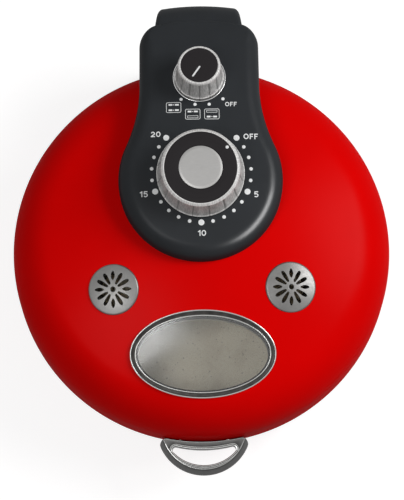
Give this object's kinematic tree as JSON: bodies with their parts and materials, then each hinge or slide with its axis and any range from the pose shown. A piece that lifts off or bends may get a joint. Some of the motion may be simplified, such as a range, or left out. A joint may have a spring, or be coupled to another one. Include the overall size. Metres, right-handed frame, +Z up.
{
  "type": "electric pizza maker",
  "caption": "Round countertop pizza oven: a red pan with a turning stone and a domed, windowed lid on a rear hinge, with a timer and a heat selector on its black panel.",
  "frame": {"origin": "centre of the object's box, on the surface that its feet stand on", "axes": "+Z up, -Y to the front where the handle is, +X to the right as seen from the front"},
  "size_m": [0.3599, 0.4407, 0.2102],
  "materials": {
    "red_enamel": "satin",
    "bright_steel": "bright",
    "zinc_plate": "satin",
    "foot_rubber": "matte",
    "heater_tube": "matte",
    "brass_parts": "satin",
    "brown_moulding": "matte",
    "ivory_moulding": "matte",
    "black_moulding": "satin",
    "hinge_metal": "satin",
    "stone_ceramic": "matte",
    "silver_trim": "satin",
    "knob_silver": "satin",
    "knob_black": "satin",
    "handle_grey": "satin",
    "clear_glass": "clear",
    "seal_silicone": "matte"
  },
  "bodies": {
    "base": {"base_shell": "red_enamel", "bottom_cover": "zinc_plate", "rubber_feet": "foot_rubber", "foot_screws": "zinc_plate", "base_liner": "bright_steel", "lower_element": "heater_tube", "lower_element_clips": "zinc_plate", "drive_motor": "zinc_plate", "motor_bracket": "zinc_plate", "motor_screws": "zinc_plate", "shaft_bush": "brass_parts", "base_thermostat": "brown_moulding", "thermal_fuse": "ivory_moulding", "terminal_block": "ivory_moulding", "rear_housing": "black_moulding", "rear_housing_screws": "zinc_plate", "cord_gland": "black_moulding", "hinge_pins": "zinc_plate"},
    "stone": {"drive_shaft": "zinc_plate", "turntable": "zinc_plate", "stone_plate": "stone_ceramic"},
    "lid": {"lid_shell": "red_enamel", "lid_liner": "bright_steel", "upper_element": "heater_tube", "upper_element_clips": "zinc_plate", "lid_thermostat": "brown_moulding", "window_bezel": "silver_trim", "bezel_nuts": "zinc_plate", "window_glass": "clear_glass", "window_gasket": "seal_silicone", "window_tunnel": "bright_steel", "vent_grille_left": "silver_trim", "vent_grille_right": "silver_trim", "vent_ducts": "bright_steel", "control_housing": "black_moulding", "housing_screws": "zinc_plate", "timer_unit": "brass_parts", "selector_switch": "ivory_moulding", "switch_screws": "zinc_plate", "selector_ring": "silver_trim", "hinge_arm": "hinge_metal", "hinge_arm_screws": "zinc_plate", "lid_handle": "handle_grey", "handle_screws": "zinc_plate"},
    "timer": {"timer_shaft": "zinc_plate", "timer_knob": "knob_silver", "timer_face": "knob_black", "timer_cap": "silver_trim"},
    "selector": {"selector_shaft": "zinc_plate", "selector_knob": "knob_silver", "selector_face": "knob_black"}
  },
  "joints": [
    {"name": "lid_hinge", "type": "hinge", "parent": "base", "child": "lid", "pos_m": [0, 0.19095, 0.084], "axis": [-1, 0, 0], "range_deg": [0, 95]},
    {"name": "stone_turn", "type": "hinge", "parent": "base", "child": "stone", "pos_m": [0, -0.00905, 0.05], "axis": [0, 0, 1], "continuous": true},
    {"name": "timer_turn", "type": "hinge", "parent": "lid", "child": "timer", "pos_m": [0, 0.04585, 0.18193], "axis": [0, 0.0152, -0.9999], "range_deg": [0, 270]},
    {"name": "selector_turn", "type": "hinge", "parent": "lid", "child": "selector", "pos_m": [0, 0.13815, 0.1762], "axis": [0, -0.1387, -0.9903], "range_deg": [-90, 0]}
  ]
}
